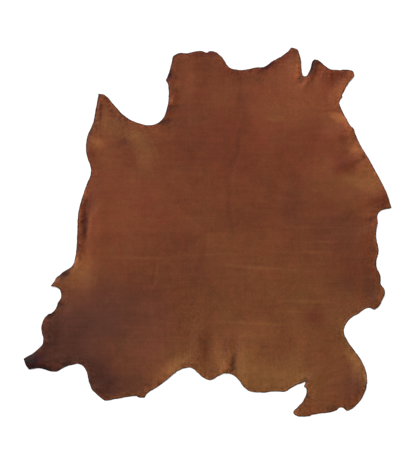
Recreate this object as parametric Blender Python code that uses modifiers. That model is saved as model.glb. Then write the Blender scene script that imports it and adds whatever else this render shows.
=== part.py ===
"""A whole tanned hide lying grain side up: one sheet with an uneven natural rim, flat on the
surface in its middle, with low folds near the rim. Metres, +Z up, +Y towards the neck. The
origin is at the middle of the rim's box, on the surface that the hide lies on."""

import math

import bmesh
import bpy
from mathutils import Vector
from mathutils.geometry import delaunay_2d_cdt

# Driving dimensions, in metres.
THICKNESS = 0.002  # of the leather
HIDE_UNIT = 0.01  # one unit of the tables below: the whole hide scales with it
RIM_STEPS = 3  # straight pieces in each stretch of the rim
FLAT_SPACING = 0.045  # between the sheet's points where it lies flat
FOLD_SPACING = 0.011  # and on its folds
RIM_CLEARANCE = 0.35  # the least share of a spacing between the rim and a point inside it

LEATHER_BROWN = (0.170, 0.055, 0.024, 1.0)
LEATHER_ROUGHNESS = 0.55

# How the rim passes a point, as Blender's handle types: on in a curve, or round a corner.
CURVE, CORNER = "AUTO", "VECTOR"

# The rim, clockwise from the neck's left side, seen from above. Columns: x, y, turn.
NECK = (
    (-13.1, 45.1, CURVE),
    (-13.2, 48.2, CURVE),
    (-13.5, 49.6, CORNER),
    (-14.0, 50.5, CORNER),
    (-13.6, 51.5, CURVE),
    (-12.6, 54.6, CURVE),
    (-11.6, 58.5, CORNER),
    (-9.9, 59.6, CURVE),
    (-6.8, 59.6, CURVE),
    (-2.8, 60.4, CURVE),
    (-0.3, 59.8, CORNER),
    (0.5, 60.2, CURVE),
    (2.0, 60.2, CURVE),
    (3.9, 59.0, CURVE),
    (5.6, 56.9, CURVE),
    (6.9, 55.0, CURVE),
    (9.0, 54.2, CURVE),
    (12.5, 54.1, CURVE),
    (16.1, 54.9, CURVE),
    (18.7, 55.1, CURVE),
)
RIGHT_FORELEG = (
    (21.5, 56.9, CURVE),
    (26.0, 59.6, CURVE),
    (27.8, 61.4, CORNER),
    (29.9, 60.7, CORNER),
    (30.9, 57.6, CURVE),
    (31.2, 54.0, CURVE),
    (32.1, 51.9, CURVE),
    (34.0, 54.2, CURVE),
    (34.8, 56.8, CURVE),
    (35.4, 57.5, CORNER),
    (36.8, 57.2, CURVE),
    (39.9, 54.7, CURVE),
    (41.6, 54.1, CURVE),
    (47.2, 54.0, CURVE),
    (48.3, 53.6, CORNER),
    (48.7, 51.8, CORNER),
    (46.7, 49.3, CURVE),
    (44.7, 45.6, CORNER),
    (44.8, 44.9, CORNER),
    (44.2, 44.2, CORNER),
    (43.8, 43.0, CURVE),
)
RIGHT_FLANK = (
    (44.5, 41.0, CURVE),
    (47.7, 35.1, CORNER),
    (48.3, 34.8, CORNER),
    (50.4, 29.9, CURVE),
    (53.8, 24.0, CURVE),
    (56.7, 18.8, CURVE),
    (59.8, 12.4, CURVE),
    (61.1, 8.1, CORNER),
    (60.3, 7.7, CORNER),
    (58.2, 7.3, CURVE),
    (56.5, 5.7, CURVE),
    (56.6, 3.5, CURVE),
    (56.0, -1.1, CURVE),
    (56.9, -6.3, CURVE),
    (56.1, -11.0, CURVE),
    (57.5, -14.6, CURVE),
    (57.6, -17.1, CURVE),
    (59.0, -19.8, CURVE),
    (57.9, -22.9, CURVE),
    (57.0, -24.7, CURVE),
    (55.4, -25.9, CORNER),
    (53.3, -25.3, CURVE),
    (50.5, -27.0, CURVE),
)
RIGHT_HIND_LEG = (
    (47.1, -29.3, CURVE),
    (45.3, -33.0, CURVE),
    (46.8, -36.6, CURVE),
    (51.5, -43.5, CURVE),
    (53.0, -49.8, CURVE),
    (51.3, -55.4, CURVE),
    (48.2, -58.8, CURVE),
    (46.4, -59.6, CORNER),
    (44.1, -58.5, CURVE),
    (42.9, -59.5, CORNER),
    (40.4, -60.2, CURVE),
    (36.7, -60.6, CURVE),
    (31.7, -61.6, CURVE),
    (29.2, -61.1, CURVE),
    (28.4, -60.3, CURVE),
    (29.5, -58.7, CURVE),
    (31.9, -55.9, CURVE),
    (32.7, -52.3, CURVE),
    (32.0, -51.6, CORNER),
    (32.4, -50.0, CORNER),
)
RUMP = (
    (30.9, -50.5, CURVE),
    (28.4, -51.6, CURVE),
    (26.0, -53.1, CURVE),
    (21.5, -53.2, CURVE),
    (17.8, -53.6, CURVE),
    (13.2, -52.7, CURVE),
    (8.9, -48.1, CURVE),
    (6.0, -47.1, CURVE),
    (3.8, -47.9, CURVE),
    (0.6, -49.4, CURVE),
    (-2.3, -48.0, CURVE),
    (-5.5, -45.3, CURVE),
    (-7.8, -45.5, CURVE),
    (-9.6, -46.1, CURVE),
    (-11.9, -47.8, CURVE),
    (-15.9, -51.1, CURVE),
    (-20.2, -53.9, CURVE),
    (-21.2, -55.2, CORNER),
    (-22.8, -55.3, CURVE),
    (-23.9, -54.7, CORNER),
)
LEFT_HIND_LEG = (
    (-30.9, -55.7, CURVE),
    (-34.2, -56.2, CURVE),
    (-35.6, -55.4, CURVE),
    (-38.7, -52.5, CORNER),
    (-39.8, -49.6, CURVE),
    (-40.7, -46.1, CURVE),
    (-42.8, -44.1, CURVE),
    (-45.2, -44.3, CURVE),
    (-47.5, -45.0, CURVE),
    (-51.0, -46.6, CURVE),
    (-56.2, -45.4, CURVE),
    (-59.7, -45.8, CORNER),
    (-60.7, -44.3, CURVE),
    (-61.4, -42.3, CORNER),
    (-56.7, -39.1, CURVE),
    (-55.0, -36.8, CURVE),
)
LEFT_FLANK = (
    (-55.5, -31.8, CURVE),
    (-54.4, -28.6, CURVE),
    (-53.1, -27.3, CORNER),
    (-52.0, -26.9, CURVE),
    (-50.6, -25.2, CURVE),
    (-50.1, -23.7, CORNER),
    (-48.9, -21.4, CURVE),
    (-49.8, -18.9, CURVE),
    (-52.4, -18.0, CORNER),
    (-51.3, -16.6, CURVE),
    (-50.8, -15.5, CORNER),
    (-48.0, -13.2, CURVE),
    (-45.3, -11.3, CURVE),
    (-44.1, -7.7, CURVE),
    (-43.6, -1.5, CURVE),
    (-43.1, 6.7, CURVE),
    (-40.9, 14.6, CURVE),
    (-39.0, 20.3, CURVE),
    (-40.5, 26.1, CURVE),
    (-40.3, 31.3, CURVE),
    (-38.3, 36.4, CURVE),
)
LEFT_FORELEG = (
    (-37.2, 42.1, CURVE),
    (-36.4, 46.1, CORNER),
    (-34.5, 45.7, CURVE),
    (-31.5, 42.6, CURVE),
    (-27.2, 38.3, CURVE),
    (-22.8, 36.2, CURVE),
    (-18.5, 35.7, CURVE),
    (-15.5, 37.3, CURVE),
    (-13.7, 41.0, CURVE),
)
RIM = (
    *NECK,
    *RIGHT_FORELEG,
    *RIGHT_FLANK,
    *RIGHT_HIND_LEG,
    *RUMP,
    *LEFT_HIND_LEG,
    *LEFT_FLANK,
    *LEFT_FORELEG,
)

# How a fold's height fades: from the rim inwards, or from its middle to both its ends.
INWARDS, TO_BOTH_ENDS = "inwards", "to both ends"

# The folds, each a soft ridge between two places. Columns: name, from x, y, to x, y, half
# the ridge's width at its foot, its height, and its fade.
FOLDS = (
    ("left flank's lifted rim", -43.0, 15.0, -44.6, -13.0, 4.2, 0.85, TO_BOTH_ENDS),
    ("left flank's inner ridge", -36.0, 18.0, -36.8, -9.0, 4.2, 0.45, TO_BOTH_ENDS),
    ("left foreleg's spine", -35.8, 44.5, -37.0, 26.0, 3.4, 0.60, INWARDS),
    ("left foreleg's outer rim", -40.6, 34.0, -39.2, 20.5, 3.2, 0.65, TO_BOTH_ENDS),
    ("neck's left rim", -13.4, 52.5, -12.4, 38.5, 3.2, 0.55, TO_BOTH_ENDS),
    ("neck's right rim", 3.4, 59.4, 10.4, 52.6, 3.0, 0.45, TO_BOTH_ENDS),
    ("right foreleg's near point", 28.9, 60.6, 29.6, 45.0, 3.2, 0.50, INWARDS),
    ("right foreleg's notch side", 35.2, 57.0, 31.0, 43.0, 2.9, 0.65, INWARDS),
    ("right foreleg's middle", 40.4, 54.0, 34.0, 42.5, 2.7, 0.55, INWARDS),
    ("right foreleg's far point", 48.0, 52.5, 40.5, 41.0, 3.3, 0.60, INWARDS),
    ("right flank's upper ruffle", 48.8, 34.4, 37.0, 30.5, 3.9, 0.70, INWARDS),
    ("right flank's middle ruffle", 53.7, 24.2, 38.0, 18.5, 4.3, 0.85, INWARDS),
    ("right flank's lower ruffle", 60.0, 12.0, 43.0, 10.6, 4.6, 0.70, INWARDS),
    ("right flank's small ruffle", 56.5, 0.8, 49.0, -2.0, 3.2, 0.45, INWARDS),
    ("right flank's bump", 58.4, -19.2, 54.8, -26.2, 3.2, 0.55, TO_BOTH_ENDS),
    ("right hind leg's outer rim", 50.8, -41.5, 50.6, -57.0, 3.6, 0.60, TO_BOTH_ENDS),
    ("right hind leg's crease", 33.0, -50.8, 42.5, -42.5, 3.2, 0.50, INWARDS),
    ("rump's right ridge", 12.2, -51.6, 11.0, -33.0, 3.6, 0.70, INWARDS),
    ("rump's middle ridge", 6.0, -47.2, 6.6, -32.0, 3.1, 0.60, INWARDS),
    ("rump's left ridge", -4.4, -45.6, -2.0, -29.0, 3.6, 0.50, INWARDS),
    ("left hind leg's foot", -60.7, -44.2, -49.0, -42.0, 3.6, 0.70, INWARDS),
    ("left hind leg's corner", -40.0, -50.0, -35.0, -55.4, 2.8, 0.45, TO_BOTH_ENDS),
    ("left flank's point", -51.9, -17.6, -43.0, -14.0, 3.2, 0.60, INWARDS),
)


def clear_scene():
    for old in list(bpy.data.objects):
        bpy.data.objects.remove(old)


def new_collection(name):
    collection = bpy.data.collections.new(name)
    bpy.context.scene.collection.children.link(collection)
    return collection


def rim_guide(helpers):
    """The rim as one closed Bezier curve on the surface."""
    data = bpy.data.curves.new("rim_guide", "CURVE")
    data.dimensions = "2D"
    data.fill_mode = "NONE"
    data.resolution_u = RIM_STEPS
    spline = data.splines.new("BEZIER")
    spline.bezier_points.add(len(RIM) - 1)
    spline.use_cyclic_u = True
    for point, (x, y, turn) in zip(spline.bezier_points, RIM):
        point.co = (x * HIDE_UNIT, y * HIDE_UNIT, 0)
        point.handle_left_type = point.handle_right_type = turn
    guide = bpy.data.objects.new("rim_guide", data)
    guide.hide_render = True
    guide.display_type = "WIRE"
    helpers.objects.link(guide)
    return guide


def rim_of(guide):
    """The curve's points as 2D vectors, with the middle of their box at the origin."""
    graph = bpy.context.evaluated_depsgraph_get()
    mesh = bpy.data.meshes.new_from_object(guide.evaluated_get(graph))
    points = [v.co.xy for v in mesh.vertices]
    bpy.data.meshes.remove(mesh)
    low = Vector(map(min, *points))
    high = Vector(map(max, *points))
    middle = (low + high) / 2
    return [p - middle for p in points], middle


def nearest(p, a, b):
    """The distance from a point to the straight piece from a to b, and where on it, 0 to 1."""
    along = b - a
    share = max(0.0, min(1.0, (p - a).dot(along) / along.length_squared))
    return (p - a - share * along).length, share


def folds_from(middle):
    """The folds in metres, as (start, end, reach, height, fade)."""
    made = []
    for _name, x0, y0, x1, y1, reach, height, fade in FOLDS:
        start = Vector((x0, y0)) * HIDE_UNIT - middle
        end = Vector((x1, y1)) * HIDE_UNIT - middle
        made.append((start, end, reach * HIDE_UNIT, height * HIDE_UNIT, fade))
    return made


def lift(p, folds):
    """How high the folds hold the hide's underside at a place. It is 0 where it lies flat."""
    total = 0.0
    for start, end, reach, height, fade in folds:
        distance, share = nearest(p, start, end)
        if distance < reach:
            angle = share * math.pi / 2 if fade == INWARDS else (share - 0.5) * math.pi
            total += height * math.cos(angle) * (1 - (distance / reach) ** 2) ** 2
    return total


def lattice(low, high, spacing):
    """Points of a triangular lattice that covers a box."""
    row_height = spacing * math.sqrt(3) / 2
    rows = math.ceil((high.y - low.y) / row_height)
    columns = math.ceil((high.x - low.x) / spacing)
    for row in range(rows + 1):
        shift = spacing / 2 if row % 2 else 0.0
        for column in range(columns + 1):
            yield Vector((low.x + shift + column * spacing, low.y + row * row_height))


def near_fold(p, folds, margin):
    return any(nearest(p, a, b)[0] < reach + margin for a, b, reach, _height, _fade in folds)


def points_inside(rim, folds):
    """Close points on the folds, and wide ones where the hide lies flat, clear of the rim."""
    low = Vector(map(min, *rim))
    high = Vector(map(max, *rim))
    edges = list(zip(rim, rim[1:] + rim[:1]))
    kept = []
    for spacing, on_fold in ((FOLD_SPACING, True), (FLAT_SPACING, False)):
        margin = 0.0 if on_fold else FOLD_SPACING
        for p in lattice(low, high, spacing):
            if near_fold(p, folds, margin) != on_fold:
                continue
            if min(nearest(p, a, b)[0] for a, b in edges) > spacing * RIM_CLEARANCE:
                kept.append(p)
    return kept


def sheet_mesh(rim, folds):
    """The hide's underside: triangles between the rim and the points inside it."""
    points = rim + points_inside(rim, folds)
    edges = [(i, (i + 1) % len(rim)) for i in range(len(rim))]
    flat, _edges, faces = delaunay_2d_cdt(points, edges, [], 1, 1e-6)[:3]
    mesh = bpy.data.meshes.new("hide")
    mesh.from_pydata([(p.x, p.y, lift(p, folds)) for p in flat], [], faces)
    sheet = bmesh.new()
    sheet.from_mesh(mesh)
    for face in sheet.faces:
        if face.normal.z < 0:
            face.normal_flip()
    sheet.to_mesh(mesh)
    sheet.free()
    return mesh


def leather():
    material = bpy.data.materials.new("brown_leather")
    material.use_nodes = True
    shader = material.node_tree.nodes["Principled BSDF"]
    shader.inputs["Base Color"].default_value = LEATHER_BROWN
    shader.inputs["Roughness"].default_value = LEATHER_ROUGHNESS
    shader.inputs["Metallic"].default_value = 0.0
    return material


def make_hide(collection, helpers):
    rim, middle = rim_of(rim_guide(helpers))
    hide = bpy.data.objects.new("hide", sheet_mesh(rim, folds_from(middle)))
    hide.data.materials.append(leather())
    collection.objects.link(hide)
    wall = hide.modifiers.new("thickness", "SOLIDIFY")
    wall.thickness = THICKNESS
    wall.offset = 1.0
    return hide


def main():
    clear_scene()
    parts = new_collection("leather_hide")
    helpers = new_collection("helpers")
    make_hide(parts, helpers)


main()
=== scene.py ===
import math

import bmesh
import bpy
import numpy as np
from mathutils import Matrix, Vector, kdtree, noise
from mathutils.bvhtree import BVHTree
from mathutils.geometry import delaunay_2d_cdt


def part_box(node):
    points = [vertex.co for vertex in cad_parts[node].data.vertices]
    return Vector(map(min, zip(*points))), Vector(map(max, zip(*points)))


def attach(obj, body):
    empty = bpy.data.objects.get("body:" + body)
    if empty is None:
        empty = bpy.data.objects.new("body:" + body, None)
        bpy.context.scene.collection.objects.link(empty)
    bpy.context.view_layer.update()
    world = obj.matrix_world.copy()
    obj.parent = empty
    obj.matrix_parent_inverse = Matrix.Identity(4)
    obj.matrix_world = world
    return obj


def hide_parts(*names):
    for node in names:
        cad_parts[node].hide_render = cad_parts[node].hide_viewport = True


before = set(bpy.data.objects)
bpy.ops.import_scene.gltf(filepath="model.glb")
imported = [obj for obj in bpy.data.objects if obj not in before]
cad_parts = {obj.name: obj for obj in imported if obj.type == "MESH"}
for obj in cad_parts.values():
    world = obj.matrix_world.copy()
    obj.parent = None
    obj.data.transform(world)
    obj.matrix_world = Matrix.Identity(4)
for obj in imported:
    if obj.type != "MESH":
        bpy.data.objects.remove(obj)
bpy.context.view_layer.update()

hideLow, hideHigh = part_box("hide")
cm = 0.01
mm = 0.001

# The hide's own sizes, in metres. +Y is the neck, +Z the grain side.
hide = {
    "mergeWithin": 0.02 * mm,  # the CAD copy's loose triangles
    "thickness": 2 * mm,
    "rimThinning": 0.25,  # share of the thickness lost at the belly edges
    "thinningReach": 30 * mm,
    "leastHeight": 0.75,  # of the grain side, as a share of the thickness
    "furrowThickness": 0.4,  # share of the thickness left under a narrow furrow
    "curveSteps": 12,  # between two of the rim's corners
    "rimSpacing": 2.4 * mm,  # between points along the rim
    "rimBand": 55 * mm,  # the strip beside the rim with close points
    "rimBandSpacing": 3.3 * mm,
    "middleSpacing": 4.3 * mm,
    "fleshSpacing": 11 * mm,
    "bandFree": 0.75,  # shares of the spacings left free between these strips and their borders
    "middleFree": 0.4,
    "fleshFree": 0.6,
    "smoothings": 9,  # passes that take the CAD facets out of the folds
    "smoothing": 0.6,  # share of the neighbours' mean height in each pass
    "rimDroop": 0.5,  # share of a fold's height lost where the cut edge hangs down
    "droopReach": 16 * mm,
    "cutInside": 0.2 * mm,
    "knifeWobble": 1 * mm,  # how far the cut wanders, and over what length
    "wobbleSize": 14 * mm,
    "knifeBite": 0.5 * mm,  # and the shorter jogs on top
    "biteSize": 5 * mm,
    "swell": 0.7 * mm,  # how far the hide stands off the table between its touching places
    "swellSize": 160 * mm,
    "creaseDrift": 4.5 * mm,  # bends the creases off straight lines
    "creaseDriftSize": 55 * mm,
    "patchFall": 0.9,  # the more, the fainter a patch is at its half width
    "patchFlatness": 1.4,  # above 1 its middle is flatter and its border steeper
    "livelyMiddle": 0.53,  # how lively the grain is in the middle and, added, at the rim
    "livelyRim": 3.3,
    "livelyFrom": 9 * mm,  # no livelier than here, closer to the rim
    "livelyReach": 19 * mm,
    "livelyPebble": 0.4,
    "rippleHeight": 1.5 * mm,
    "rippleSize": 19 * mm,
    "rippleReach": 48 * mm,
    "rippleSeed": 7.0,
    "rippleLevels": (0.42, 0.7),  # of the noise, where a ripple starts and is full
}

# The cut edge's section, from the grain side down: inset and depth, as shares of the thickness.
edgeSection = (
    (0.55, 0.00),
    (0.16, 0.12),
    (0.00, 0.42),
    (0.04, 0.78),
    (0.34, 1.00),
)

# Creases finer than the CAD folds, under the part of the hide they lie on. Columns: name,
# from x, y, to x, y in cm, bow in cm, half width in cm, height in mm, and where it fades:
# at its inner end or at both.
creases = (
    # neck
    ("left tuck", -13.6, 53.6, -11.6, 50.6, 0.3, 1.3, -2, "ends"),
    ("left roll", -13.2, 49, -9.6, 48.6, 0.2, 1.3, 1.4, "in"),
    ("bright roll", -13.4, 43.8, -10.4, 43.4, 0, 1.1, 1.8, "in"),
    ("dark tuck", -13.4, 41.4, -9.6, 41.8, 0, 1.1, -2, "in"),
    ("low tuck", -14.4, 37, -11, 36.4, 0, 1, -1.6, "in"),
    ("right tuck", 7.6, 54.4, 9.4, 52, 0, 1, -1.4, "in"),
    ("seam", 10.8, 54, 12, 47, 0, 1, -0.8, "in"),
    # backbone
    ("upper", 11.8, 51, 8.6, 29, 0.4, 1.2, -0.5, "ends"),
    ("lower", 8.6, 33, 6.6, 2, 0.3, 1.1, -0.5, "ends"),
    # left foreleg
    ("pleat", -35.7, 44.6, -35.6, 32, 0.2, 0.6, -0.8, "in"),
    ("second pleat", -32.5, 43, -30.8, 33, 0.2, 0.8, -0.4, "in"),
    ("roll", -34.2, 44, -33.6, 31, 0.3, 0.9, 0.7, "in"),
    ("waist", -41, 30.8, -33, 27, 0.3, 1.4, 1.4, "in"),
    ("dip", -29.5, 31.5, -27, 29, 0, 1.3, -0.6, "ends"),
    # left flank
    ("valley wall", -39.6, 16, -41.4, -7, -0.5, 1.1, -2.2, "ends"),
    ("bright roll", -37.6, 14, -38.8, -12, -0.5, 1.8, 1.6, "ends"),
    ("rim roll", -42.6, 12, -43.4, -8, 0.2, 0.9, 1, "ends"),
    # left point
    ("tuck", -48.6, -13.2, -45, -17, 0.3, 1, -1.8, "ends"),
    # belly
    ("hanging line", -16.6, -10, -18.6, -19.4, -1.2, 0.6, 0.7, "ends"),
    # saddle
    ("long line", 0, -10.4, 26, -12.2, -0.8, 0.6, 0.6, "ends"),
    ("short line", 14, -11.2, 20.4, -12.8, 0.2, 0.7, 0.8, "ends"),
    # right shoulder
    ("upper pucker", 43.6, 42.6, 33.8, 42.8, 0.8, 0.7, -0.8, "in"),
    ("middle pucker", 43.8, 41.2, 34.4, 41.4, 0.7, 0.6, 0.8, "in"),
    ("lower pucker", 44, 39.8, 35.4, 40, 0.6, 0.6, -0.7, "in"),
    # right foreleg
    ("near roll", 30.2, 58, 29.4, 49, 0.4, 1, 0.8, "in"),
    ("first pleat", 37.6, 55.6, 35.4, 49, 0.3, 0.7, 0.8, "in"),
    ("second pleat", 39.4, 53.6, 37.2, 49.2, 0.3, 0.6, -0.9, "in"),
    ("third pleat", 41, 53.2, 39.2, 48.6, 0.3, 0.6, 0.5, "in"),
    ("far dip", 46, 52.6, 40.6, 48.4, -0.4, 1.6, -0.7, "in"),
    ("far roll", 46.6, 49.4, 41, 45.4, -0.3, 1.2, 0.5, "in"),
    # notch
    ("left tuck", 31.2, 51.8, 28.8, 49.2, 0, 0.8, -1.8, "in"),
    ("right roll", 34.6, 51.8, 31.8, 48.4, 0.2, 0.8, 0.9, "in"),
    ("right tuck", 35, 56.8, 33.4, 49.4, 0.4, 0.9, -1.8, "in"),
    # right flank
    ("bright swell", 47.2, 37.4, 40.8, 38.4, 0.2, 1.6, 1.2, "in"),
    ("first furrow", 47.4, 33.6, 43.6, 33.2, 0.2, 0.6, -0.8, "in"),
    ("first ripple", 47.6, 32.2, 43.6, 31.8, 0.2, 0.5, 0.6, "in"),
    ("second furrow", 48, 30.8, 43.8, 30.4, 0.2, 0.6, -0.8, "in"),
    ("bright ruffle", 52, 27.4, 47, 26.6, 0.4, 1.3, 1.6, "in"),
    ("deep furrow", 52.4, 24.6, 44.6, 21, 0.7, 1.4, -1.6, "in"),
    ("third ripple", 56, 21.6, 49, 20.2, 0.4, 0.8, 1.2, "in"),
    ("fourth ripple", 57.6, 18.2, 50, 16.4, 0.4, 1, 1, "in"),
    ("point's hollow", 60.4, 9.8, 53, 9.8, 0.5, 1.7, -2.4, "in"),
    ("point's roll", 57.4, 7.4, 51.4, 7.6, 0.2, 1, 1.6, "in"),
    ("small tuck", 56.4, 4.6, 52.4, 3.6, 0, 0.8, -1.4, "in"),
    ("small roll", 56.2, 2.2, 52.6, 1.6, 0, 0.8, 1.2, "in"),
    # right bump
    ("tuck", 58, -17, 55.6, -24, 0.5, 1, -1.4, "ends"),
    # right waist
    ("first pucker", 48.6, -28.2, 43, -27.6, 0.3, 0.6, 0.7, "in"),
    ("second pucker", 46.6, -30, 41.6, -28.8, 0.3, 0.6, -0.7, "in"),
    # left hind leg
    ("corner dip", -38.6, -52, -33, -48, 0.6, 1.6, -1.6, "in"),
    ("long dip", -56, -42.6, -44, -39.6, 0.6, 1.8, -1.6, "in"),
    ("rim tuck", -50.4, -24, -46.6, -25.2, 0.2, 1, -1.4, "in"),
    # left rump
    ("rim roll", -15, -50, -8.4, -45.4, -0.6, 1.5, 1.6, "ends"),
    # rump
    ("gully", 8.2, -47.4, 9.2, -37.6, -0.2, 0.9, -1.8, "in"),
    ("gully wall", 10.4, -49, 10.8, -37, 0.1, 1.2, 1.6, "in"),
    ("bright pleat", 6.2, -47.2, 6.4, -38, 0.2, 1, 1.6, "in"),
    ("left pleat", 4.2, -47.8, 4.8, -38, 0.2, 0.9, -0.9, "in"),
    ("wide dip", 0.2, -49, 0.4, -33, 0.3, 1.5, -1.2, "in"),
    ("left gully", -2.4, -47.8, -2.8, -38, 0.2, 1, -0.9, "in"),
    ("cross line", 13, -29.4, 20, -31, 0.4, 0.6, 0.7, "ends"),
    # right hind leg
    ("upper ray", 38, -47.6, 46, -42, 0.9, 0.8, -0.8, "ends"),
    ("rim roll", 49.4, -42, 51.4, -48.4, 0.6, 0.9, 1.2, "ends"),
    # slit
    ("pull", 32.4, -49.8, 35, -46.6, 0.2, 0.9, -1.6, "in"),
    ("lower pull", 33, -54.2, 35.6, -53.2, 0, 0.8, -1.4, "in"),
    # right hind lobe
    ("first ray", 37.6, -49.4, 45.6, -45.6, 0.9, 0.8, 1, "ends"),
    ("second ray", 37.2, -51, 46.4, -48.2, 0.9, 0.7, -0.9, "ends"),
    ("third ray", 37, -52.4, 46.6, -50.8, 0.9, 0.7, 0.9, "ends"),
    ("fourth ray", 36.8, -54, 46, -53.8, 0.8, 0.7, -0.8, "ends"),
    ("fifth ray", 36.6, -55.6, 44.6, -56.8, 0.7, 0.7, 0.8, "ends"),
    ("curl", 49.6, -57.2, 47.2, -54.8, 0.5, 0.8, -1.4, "in"),
    ("rim tuck", 43.6, -58.6, 40.6, -57.6, 0.2, 1, -1.4, "in"),
)

# How the borders of the dye and of the painted light and shade wander: each drift's reach, and the size
# of its waves.
patchSettings = {
    "wander": 12 * mm,
    "wanderSize": 60 * mm,
    "ragged": 6 * mm,
    "raggedSize": 17 * mm,
    "torn": 3 * mm,
    "tornSize": 8 * mm,
    "narrow": 15 * mm,  # a patch of less half width keeps its place, with only these two drifts
    "steadyRagged": 3 * mm,
    "steadyTorn": 2 * mm,
    "goldRange": (-0.8, 2.0),
    "smokeRange": (0, 1.1),
    "pebbleRange": (0, 1.2),
}
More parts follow.
